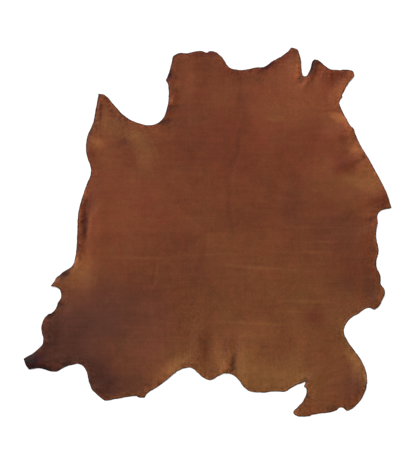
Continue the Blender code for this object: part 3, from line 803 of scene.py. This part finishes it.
def livelyOf(points, fromRim, pebble):
    # how much the fine grain varies: little in the middle, more at the rim and where it is pebbled
    near = np.exp(-np.maximum(fromRim, hide["livelyFrom"]) / hide["livelyReach"])
    more = 1 + patchSum(points, livelyPlaces)
    return hide["livelyMiddle"] + hide["livelyRim"] * near * more + hide["livelyPebble"] * pebble


def storeNumbers(mesh, name, values, domain="POINT"):
    layer = mesh.attributes.new(name, "FLOAT", domain)
    layer.data.foreach_set("value", np.asarray(values, dtype=np.float32))


def sheetMesh():
    # the grain side, the cut edge and the flesh side as one closed sheet, with its dye and its painted
    # light and shade
    copy = openCadHide()
    rim = knifeCut(smoothLoop(rimCorners(copy), hide["rimSpacing"]))
    cadTree = cadGrainTree(copy)
    copy.free()
    rimTree = treeOf(rim)
    away = outward(rim)
    thin = hide["thickness"] * (1 - hide["rimThinning"])
    rings = [rim - away * (inset * thin) for inset, _depth in edgeSection]
    print("rim:", len(rim), "points")

    close, wide, loose = hide["rimBandSpacing"], hide["middleSpacing"], hide["fleshSpacing"]
    bandEnd = hide["rimBand"]
    band = latticeInside(rings[0], close, rimTree, hide["bandFree"] * close, bandEnd)
    middle = latticeInside(rings[0], wide, rimTree, bandEnd + hide["middleFree"] * wide)
    top, topFaces, topRim = trianglesIn(rings[0], np.vstack([band, middle]))
    z = grainHeights(top, topFaces, rimDistance(top, rimTree), cadTree)
    print("grain side:", len(topFaces), "triangles")

    lattice = latticeInside(rings[-1], loose, rimTree, hide["fleshFree"] * loose)
    flesh, fleshFaces, fleshRim = trianglesIn(rings[-1], lattice)
    fleshZ = heightsFrom(surfaceTree(top, z, topFaces), flesh)
    fleshZ = np.maximum(fleshZ - thicknessAt(rimDistance(flesh, rimTree)), 0)
    upper = z[topRim]
    lower = np.maximum(upper - thin, 0)
    fleshZ[fleshRim] = lower
    # under a narrow furrow the coarser flesh side stays below the grain
    least = heightsFrom(surfaceTree(flesh, fleshZ, fleshFaces), top)
    least += hide["furrowThickness"] * hide["thickness"]
    least[topRim] = 0
    z = np.maximum(z, least)
    print("flesh side:", len(fleshFaces), "triangles")

    count = len(rim)
    places = [np.column_stack([top, z])]
    base = len(top)
    ringIndex = [topRim]
    for ring, (_inset, depth) in zip(rings[1:-1], edgeSection[1:-1]):
        places.append(np.column_stack([ring, upper + (lower - upper) * depth]))
        ringIndex.append(np.arange(base, base + count))
        base += count
    places.append(np.column_stack([flesh, fleshZ]))
    ringIndex.append(fleshRim + base)
    places = np.vstack(places)

    here, ahead = np.arange(count), (np.arange(count) + 1) % count
    walls = []
    for above, below in zip(ringIndex, ringIndex[1:]):
        walls.append(np.column_stack([above[here], below[here], below[ahead]]))
        walls.append(np.column_stack([above[here], below[ahead], above[ahead]]))
    walls = np.vstack(walls)
    faces = np.vstack([topFaces, walls, fleshFaces[:, ::-1] + base])
    mesh = bpy.data.meshes.new("hide_leather")
    mesh.from_pydata(places.tolist(), [], faces.tolist())
    mesh.polygons.foreach_set("use_smooth", np.ones(len(faces), dtype=bool))

    flat = places[:, :2]
    fromRim = rimDistance(flat, rimTree)
    dyeAndPaintedLight = dyeAndPaintedLightOf(flat)
    for name, values in dyeAndPaintedLight.items():
        storeNumbers(mesh, name, values)
    storeNumbers(mesh, "fromRim", fromRim)
    storeNumbers(mesh, "lively", livelyOf(flat, fromRim, dyeAndPaintedLight["pebble"]))
    side = np.repeat((0, 1, 2), (len(topFaces), len(walls), len(fleshFaces)))
    storeNumbers(mesh, "side", side, "FACE")
    return mesh


def add(tree, kind, settings=None, **inputs):
    # one node: its settings, then its inputs by name or number, each a value or a socket
    node = tree.nodes.new(kind)
    for key, value in (settings or {}).items():
        setattr(node, key, value)
    for key, value in inputs.items():
        socket = node.inputs[int(key[1:])] if key[0] == "_" else node.inputs[key]
        if isinstance(value, bpy.types.NodeSocket):
            tree.links.new(value, socket)
        else:
            socket.default_value = value
    return node


def maths(tree, operation, *values, clamp=False):
    inputs = {f"_{i}": value for i, value in enumerate(values)}
    settings = {"operation": operation, "use_clamp": clamp}
    return add(tree, "ShaderNodeMath", settings, **inputs).outputs[0]


def blend(tree, value, fromLow, fromHigh, toLow, toHigh):
    # a soft step from one level to the other
    settings = {"interpolation_type": "SMOOTHSTEP"}
    limits = {"_1": fromLow, "_2": fromHigh, "_3": toLow, "_4": toHigh}
    return add(tree, "ShaderNodeMapRange", settings, Value=value, **limits).outputs[0]


def rippleTree(grain, edge, flesh):
    # lifts a strip along the rim in small ripples, then gives each side its leather
    tree = bpy.data.node_groups.new("rimRipples", "GeometryNodeTree")
    tree.is_modifier = True
    tree.interface.new_socket("Geometry", in_out="INPUT", socket_type="NodeSocketGeometry")
    for name in ("Ripple Height", "Ripple Size", "Reach", "Seed"):
        tree.interface.new_socket(name, in_out="INPUT", socket_type="NodeSocketFloat")
    tree.interface.new_socket("Geometry", in_out="OUTPUT", socket_type="NodeSocketGeometry")
    given = tree.nodes.new("NodeGroupInput").outputs
    place = tree.nodes.new("GeometryNodeInputPosition").outputs[0]
    flat = add(tree, "ShaderNodeVectorMath", {"operation": "MULTIPLY"}, _0=place, _1=(1, 1, 0))
    ripple = add(
        tree,
        "ShaderNodeTexNoise",
        {"noise_dimensions": "4D"},
        Vector=flat.outputs[0],
        W=given["Seed"],
        Scale=maths(tree, "DIVIDE", 1, given["Ripple Size"]),
        Detail=2.5,
        Roughness=0.5,
    ).outputs[0]
    floats = {"data_type": "FLOAT"}
    fromRim = add(tree, "GeometryNodeInputNamedAttribute", floats, Name="fromRim").outputs[0]
    near = blend(tree, fromRim, 0, given["Reach"], 1, 0)
    lift = maths(tree, "MULTIPLY", blend(tree, ripple, *hide["rippleLevels"], 0, 1), near)
    lift = maths(tree, "MULTIPLY", lift, given["Ripple Height"])
    offset = add(tree, "ShaderNodeCombineXYZ", Z=lift).outputs[0]
    shape = given["Geometry"]
    shape = add(tree, "GeometryNodeSetPosition", Geometry=shape, Offset=offset).outputs[0]
    shape = add(tree, "GeometryNodeRealizeInstances", Geometry=shape).outputs[0]
    shape = add(tree, "GeometryNodeSetMaterial", Geometry=shape, Material=grain).outputs[0]
    side = add(tree, "GeometryNodeInputNamedAttribute", floats, Name="side").outputs[0]
    equal = {"data_type": "FLOAT", "operation": "EQUAL"}
    for number, material in ((1, edge), (2, flesh)):
        chosen = add(tree, "FunctionNodeCompare", equal, _0=side, _1=number, Epsilon=0.1).outputs[0]
        inputs = {"Geometry": shape, "Selection": chosen, "Material": material}
        shape = add(tree, "GeometryNodeSetMaterial", **inputs).outputs[0]
    tree.links.new(shape, tree.nodes.new("NodeGroupOutput").inputs["Geometry"])
    return tree


def applyTree(piece, tree, values):
    # sets the tree's inputs by identifier, and turns the result into the piece's plain mesh
    modifier = piece.modifiers.new(tree.name, "NODES")
    modifier.node_group = tree
    for socket in tree.interface.items_tree:
        if socket.in_out == "INPUT" and socket.name in values:
            modifier[socket.identifier] = values[socket.name]
    graph = bpy.context.evaluated_depsgraph_get()
    plain = bpy.data.meshes.new_from_object(piece.evaluated_get(graph))
    plain.name = piece.data.name
    piece.modifiers.remove(modifier)
    old = piece.data
    piece.data = plain
    bpy.data.meshes.remove(old)


# The leather's colours and finish. Colours are levels of 255, and lightness is in such steps.
leather = {
    "levels": (14, 40, 70, 100, 130, 160, 190, 214),  # of red, from nearly black to pale
    "middleLevel": 113,  # undisturbed leather
    "litBy": 1.27,  # the studio's light and the finish's own gleam, taken out of the colours
    "gleam": 0.0135,
    "chestnut": (0.505, 0.3446),  # green and blue as shares of red
    "gold": (0.65, 0.3875),
    "smoke": (0.597, 0.475),
    "rimDye": (40, 20, 13),
    "rimDyeBand": (0.2 * mm, 2.6 * mm),  # where it starts to fade, and where it ends
    "rimRagged": 2.2 * mm,  # how far the fleck moves all the rim's bands
    # painted shade in a band along the rim
    "rimShade": -13.0,
    "rimShadeBand": (1.0 * mm, 7.5 * mm),
    "rimShadeRange": (0.2, 2.0),  # its strength varies along the rim
    "rimShadeWhere": (0.4, 0.6),  # levels of a noise, as in the other rows named so
    # a painted highlight just inside the rim, where it rolls up
    "paintedRimHighlight": 18.0,
    "glowRise": (3.0 * mm, 5.5 * mm),
    "glowFall": (5.5 * mm, 10.0 * mm),
    "glowWhere": (0.45, 0.6),
    "cloud": 9.0,  # mottling in steps of lightness, from wide to fine
    "blotch": 11.0,
    "fleck": 12.0,
    "grainFleck": 15.0,
    "growthLines": 9.0,
    "combedLines": 7.0,
    "pebbleFleck": 26.0,
    "goldStrength": 0.607,
    "goldCloud": 0.36,
    "goldFleck": 0.55,
    "goldBase": 0.345,
    "roughness": 0.6,
    "fleckRoughness": 0.07,
    "cloudRoughness": 0.06,
    "shine": 0.16,
    "pores": (430.0, 0.4),  # a metre, and how rounded they are
    "grainBumps": (0.35, 0.5 * mm),  # strength and depth
    "wrinkleBumps": (0.3, 0.3 * mm),
    "poreBumps": (0.4, 0.25 * mm),
    "cutDark": (38, 24, 19),
    "cutPale": (78, 49, 35),
    "cutWhere": (0.3, 0.75),
    "cutRoughness": (0.68, 0.86),
    "fuzzWhere": (0.3, 0.7),
    "cutBumps": (0.6, 0.25 * mm),
    "cutShine": 0.2,
    "fleshDark": (118, 82, 58),
    "fleshPale": (156, 116, 84),
    "fleshWhere": (0.3, 0.72),
    "nap": (176, 136, 102),
    "napStrength": 0.7,
    "napWhere": (0.3, 0.72),
    "veins": (112, 77, 55),
    "veinStrength": 0.3,
    "veinWidth": 0.03,
    "veinWhere": (0.5, 0.62),
    "napBumps": (0.7, 0.4 * mm),
    "suedeRoughness": 0.92,
    "suedeShine": 0.15,
    "suedeSheen": 0.25,
    "sheenRoughness": 0.6,
}

# Each noise: its repeats a metre, or those along x, y and z, its detail, roughness and distortion.
patterns = {
    "cloud": (7.0, 3, 0.55, 0),
    "blotch": (26.0, 4, 0.6, 0.4),
    "fleck": (90.0, 3, 0.6, 0.3),
    "grainFleck": (280.0, 2, 0.6, 0),
    "growthLines": ((6, 80, 1), 5, 0.62, 0.25),
    "combedLines": ((75, 7, 1), 4, 0.6, 0.25),
    "pebble": ((200, 80, 1), 2, 0.6, 0.3),
    "shadePlaces": (17.0, 2, 0.55, 0),
    "glowPlaces": (12.0, 2, 0.55, 0),
    "goldCloud": (18.0, 4, 0.55, 0),
    "coarseGrain": (70.0, 3, 0.55, 0),
    "wrinkles": ((60, 190, 60), 3, 0.55, 0.6),
    "cutLayers": ((90, 90, 1600), 3, 0.6, 0),
    "cutFuzz": (900.0, 3, 0.6, 0),
    "fleshCloud": (16.0, 4, 0.6, 0),
    "nap": ((420, 900, 420), 4, 0.65, 0.8),
    "veins": (5.0, 2, 0.5, 1.6),
    "veinPlaces": (3.4, 2, 0.55, 0),
    "tableTooth": (3.0, 2, 0.55, 0),
}


def linear(level):
    share = level / 255
    return share / 12.92 if share <= 0.04045 else ((share + 0.055) / 1.055) ** 2.4


def colourOf(levels):
    dyeAndPaintedLight = ((linear(v) - leather["gleam"]) / leather["litBy"] for v in levels)
    return (*(max(v, 0.002) for v in dyeAndPaintedLight), 1.0)


def hueRamp(tree, position, shares):
    # the leather from nearly black to pale, for one hue
    node = add(tree, "ShaderNodeValToRGB", Fac=position)
    levels = leather["levels"]
    elements = node.color_ramp.elements
    while len(elements) < len(levels):
        elements.new(0.5)
    for element, level in zip(elements, levels):
        element.position = (level - levels[0]) / (levels[-1] - levels[0])
        element.color = colourOf((level, level * shares[0], level * shares[1]))
    return node.outputs[0]


def twoTone(tree, share, name):
    node = add(tree, "ShaderNodeValToRGB", Fac=share)
    tones = leather[name + "Dark"], leather[name + "Pale"]
    for element, place, tone in zip(node.color_ramp.elements, leather[name + "Where"], tones):
        element.position = place
        element.color = colourOf(tone)
    return node.outputs[0]


def mixColour(tree, share, a, b):
    return add(tree, "ShaderNodeMix", {"data_type": "RGBA"}, _0=share, _6=a, _7=b).outputs[2]


def attribute(tree, name):
    return add(tree, "ShaderNodeAttribute", {"attribute_name": name}).outputs["Fac"]


def pattern(tree, place, name):
    scale, detail, roughness, distortion = patterns[name]
    if isinstance(scale, tuple):
        place = add(tree, "ShaderNodeMapping", Vector=place, Scale=scale).outputs[0]
        scale = 1.0
    settings = {"Detail": detail, "Roughness": roughness, "Distortion": distortion}
    return add(tree, "ShaderNodeTexNoise", Vector=place, Scale=scale, **settings).outputs[0]


def swing(tree, value, steps):
    # noise about 0.5 becomes steps of lightness either way
    return maths(tree, "MULTIPLY", maths(tree, "SUBTRACT", value, 0.5), steps * 2)


def joined(tree, operation, *values):
    total = values[0]
    for value in values[1:]:
        total = maths(tree, operation, total, value)
    return total


def embossed(tree, height, strength, depth, under=None):
    node = add(tree, "ShaderNodeBump", Strength=strength, Distance=depth, Height=height)
    if under:
        tree.links.new(under, node.inputs["Normal"])
    return node.outputs[0]


def newMaterial(name):
    material = bpy.data.materials.new(name)
    material.use_nodes = True
    tree = material.node_tree
    place = add(tree, "ShaderNodeTexCoord").outputs["Object"]
    return material, tree, tree.nodes["Principled BSDF"], place


def finish(tree, shader, inputs):
    # a surface's inputs, each a value or a socket
    for name, value in inputs.items():
        if isinstance(value, bpy.types.NodeSocket):
            tree.links.new(value, shader.inputs[name])
        else:
            shader.inputs[name].default_value = value


def rimTones(tree, place, ragged):
    # painted shade in a dark border along the rim, broken up, and a painted highlight in the paler line
    # here and there inside it, where the rim rolls up
    shade = blend(tree, ragged, *leather["rimShadeBand"], leather["rimShade"], 0)
    shadePlaces = pattern(tree, place, "shadePlaces")
    shadeHere = blend(tree, shadePlaces, *leather["rimShadeWhere"], *leather["rimShadeRange"])
    rise = blend(tree, ragged, *leather["glowRise"], 0, 1)
    fall = blend(tree, ragged, *leather["glowFall"], 1, 0)
    glowPlaces = pattern(tree, place, "glowPlaces")
    glowHere = blend(tree, glowPlaces, *leather["glowWhere"], 0, leather["paintedRimHighlight"])
    glow = joined(tree, "MULTIPLY", rise, fall, glowHere)
    return maths(tree, "MULTIPLY", shade, shadeHere), glow


def grainLeather():
    material, tree, shader, place = newMaterial("grain_leather")
    names = ("light", "gold", "smoke", "pebble", "fromRim", "lively")
    light, gold, smoke, pebble, fromRim, lively = (attribute(tree, name) for name in names)
    cloud = pattern(tree, place, "cloud")
    fleck = pattern(tree, place, "fleck")
    grainFleck = pattern(tree, place, "grainFleck")
    ragged = maths(tree, "MULTIPLY_ADD", swing(tree, fleck, 1), leather["rimRagged"], fromRim)
    rimShade, paintedRimHighlight = rimTones(tree, place, ragged)
    fine = joined(
        tree,
        "ADD",
        swing(tree, fleck, leather["fleck"]),
        swing(tree, grainFleck, leather["grainFleck"]),
        swing(tree, pattern(tree, place, "combedLines"), leather["combedLines"]),
    )
    pebbled = swing(tree, pattern(tree, place, "pebble"), leather["pebbleFleck"])
    # the light attribute brings the dye's lightness and the painted light and shade on folds and rims
    steps = joined(
        tree,
        "ADD",
        light,
        rimShade,
        paintedRimHighlight,
        swing(tree, cloud, leather["cloud"]),
        swing(tree, pattern(tree, place, "blotch"), leather["blotch"]),
        swing(tree, pattern(tree, place, "growthLines"), leather["growthLines"]),
        maths(tree, "MULTIPLY", fine, lively),
        maths(tree, "MULTIPLY", pebbled, pebble),
    )
    darkest, span = leather["levels"][0], leather["levels"][-1] - leather["levels"][0]
    undisturbed = (leather["middleLevel"] - darkest) / span
    position = maths(tree, "MULTIPLY_ADD", steps, 1 / span, undisturbed)
    goldShare = joined(
        tree,
        "ADD",
        maths(tree, "MULTIPLY", gold, leather["goldStrength"]),
        swing(tree, pattern(tree, place, "goldCloud"), leather["goldCloud"]),
        swing(tree, grainFleck, leather["goldFleck"]),
    )
    goldShare = maths(tree, "ADD", goldShare, leather["goldBase"], clamp=True)
    smokeShare = maths(tree, "ADD", smoke, 0, clamp=True)
    chestnut, golden, smoky = (
        hueRamp(tree, position, leather[hue]) for hue in ("chestnut", "gold", "smoke")
    )
    colour = mixColour(tree, goldShare, chestnut, golden)
    colour = mixColour(tree, smokeShare, colour, smoky)
    # the knife's edge drinks more dye
    edgeShare = blend(tree, ragged, *leather["rimDyeBand"], 1, 0)
    colour = mixColour(tree, edgeShare, colour, colourOf(leather["rimDye"]))

    poreScale, poreRounding = leather["pores"]
    smoothCells = {"feature": "SMOOTH_F1"}
    cells = {"Vector": place, "Scale": poreScale, "Smoothness": poreRounding}
    pores = add(tree, "ShaderNodeTexVoronoi", smoothCells, **cells).outputs["Distance"]
    relief = embossed(tree, pattern(tree, place, "coarseGrain"), *leather["grainBumps"])
    relief = embossed(tree, pattern(tree, place, "wrinkles"), *leather["wrinkleBumps"], relief)
    relief = embossed(tree, pores, *leather["poreBumps"], relief)
    rough = joined(
        tree,
        "ADD",
        swing(tree, fleck, leather["fleckRoughness"]),
        leather["roughness"],
        swing(tree, cloud, leather["cloudRoughness"]),
    )
    inputs = {"Base Color": colour, "Normal": relief, "Roughness": rough}
    finish(tree, shader, {**inputs, "Specular IOR Level": leather["shine"]})
    return material


def cutLeather():
    material, tree, shader, place = newMaterial("cut_edge")
    layers = pattern(tree, place, "cutLayers")
    fuzz = pattern(tree, place, "cutFuzz")
    inputs = {
        "Base Color": twoTone(tree, layers, "cut"),
        "Normal": embossed(tree, maths(tree, "ADD", layers, fuzz), *leather["cutBumps"]),
        "Roughness": blend(tree, fuzz, *leather["fuzzWhere"], *leather["cutRoughness"]),
        "Specular IOR Level": leather["cutShine"],
    }
    finish(tree, shader, inputs)
    return material


def fleshLeather():
    # suede: a combed nap over soft clouds, with a few faint veins
    material, tree, shader, place = newMaterial("flesh_suede")
    nap = pattern(tree, place, "nap")
    cloud = pattern(tree, place, "fleshCloud")
    colour = twoTone(tree, cloud, "flesh")
    napShare = blend(tree, nap, *leather["napWhere"], 0, leather["napStrength"])
    colour = mixColour(tree, napShare, colour, colourOf(leather["nap"]))
    middle = maths(tree, "ABSOLUTE", swing(tree, pattern(tree, place, "veins"), 1))
    vein = blend(tree, middle, 0, leather["veinWidth"], leather["veinStrength"], 0)
    veinHere = blend(tree, pattern(tree, place, "veinPlaces"), *leather["veinWhere"], 0, 1)
    vein = maths(tree, "MULTIPLY", vein, veinHere)
    inputs = {
        "Base Color": mixColour(tree, vein, colour, colourOf(leather["veins"])),
        "Normal": embossed(tree, nap, *leather["napBumps"]),
        "Roughness": leather["suedeRoughness"],
        "Specular IOR Level": leather["suedeShine"],
        "Sheen Weight": leather["suedeSheen"],
        "Sheen Roughness": leather["sheenRoughness"],
    }
    finish(tree, shader, inputs)
    return material


def makeHide():
    piece = bpy.data.objects.new("hide_leather", sheetMesh())
    bpy.context.scene.collection.objects.link(piece)
    sizes = {
        "Ripple Height": hide["rippleHeight"],
        "Ripple Size": hide["rippleSize"],
        "Reach": hide["rippleReach"],
        "Seed": hide["rippleSeed"],
    }
    applyTree(piece, rippleTree(grainLeather(), cutLeather(), fleshLeather()), sizes)
    print("hide:", len(piece.data.polygons), "faces, leathers:", [m.name for m in piece.data.materials])
    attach(piece, "root")
    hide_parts("hide")


# The studio: a pale table, one wide soft light from the upper left, and a camera overhead.
studio = {
    "tableSize": 60.0,
    "tableLevel": 0.95,
    "tableRoughness": 0.95,
    "toothDark": 0.985,  # the table's paper tooth: its dark, and its noise's levels
    "toothLevels": (0.3, 0.7),
    "tableDrop": 0.2 * mm,  # just clear of the leather's flesh side
    "sunFrom": (-0.62, 0.72, 1.2),
    "sunStrength": 2.95,
    "sunSpread": 45.0,  # degrees: how soft its shadows are
    "skyStrength": 0.52,
    "lens": 100.0,
    "sensor": 36.0,
    "frameHeight": 1.55,  # metres of table from the frame's top to its bottom
    "aim": (0.0019, -0.0009),
}


def makeTable():
    half = studio["tableSize"] / 2
    mesh = bpy.data.meshes.new("table")
    corners = [(-half, -half, 0), (half, -half, 0), (half, half, 0), (-half, half, 0)]
    mesh.from_pydata(corners, [], [(0, 1, 2, 3)])
    table = bpy.data.objects.new("table", mesh)
    table.location.z = -studio["tableDrop"]
    bpy.context.scene.collection.objects.link(table)
    material, tree, shader, place = newMaterial("table_white")
    levels = studio["toothLevels"]
    tooth = blend(tree, pattern(tree, place, "tableTooth"), *levels, studio["toothDark"], 1)
    level = studio["tableLevel"]
    colour = mixColour(tree, tooth, (0, 0, 0, 1), (level, level, level, 1))
    rough = studio["tableRoughness"]
    finish(tree, shader, {"Base Color": colour, "Roughness": rough, "Specular IOR Level": 0.0})
    mesh.materials.append(material)


def makeStudio():
    makeTable()
    sun = bpy.data.lights.new("softbox", "SUN")
    sun.energy = studio["sunStrength"]
    sun.angle = math.radians(studio["sunSpread"])
    lamp = bpy.data.objects.new("softbox", sun)
    lamp.rotation_euler = Vector(studio["sunFrom"]).to_track_quat("Z", "Y").to_euler()
    bpy.context.scene.collection.objects.link(lamp)

    world = bpy.data.worlds.new("studio")
    world.use_nodes = True
    sky = world.node_tree.nodes["Background"]
    sky.inputs["Color"].default_value = (1, 1, 1, 1)
    sky.inputs["Strength"].default_value = studio["skyStrength"]
    bpy.context.scene.world = world

    lens = bpy.data.cameras.new("camera")
    lens.lens = studio["lens"]
    lens.sensor_width = studio["sensor"]
    lens.clip_end = 100
    camera = bpy.data.objects.new("camera", lens)
    height = studio["frameHeight"] * studio["lens"] / studio["sensor"]
    camera.location = (*studio["aim"], height)
    bpy.context.scene.collection.objects.link(camera)
    bpy.context.scene.camera = camera
    bpy.context.scene.view_settings.view_transform = "Standard"


makeStudio()
makeHide()
print("studio and hide done")
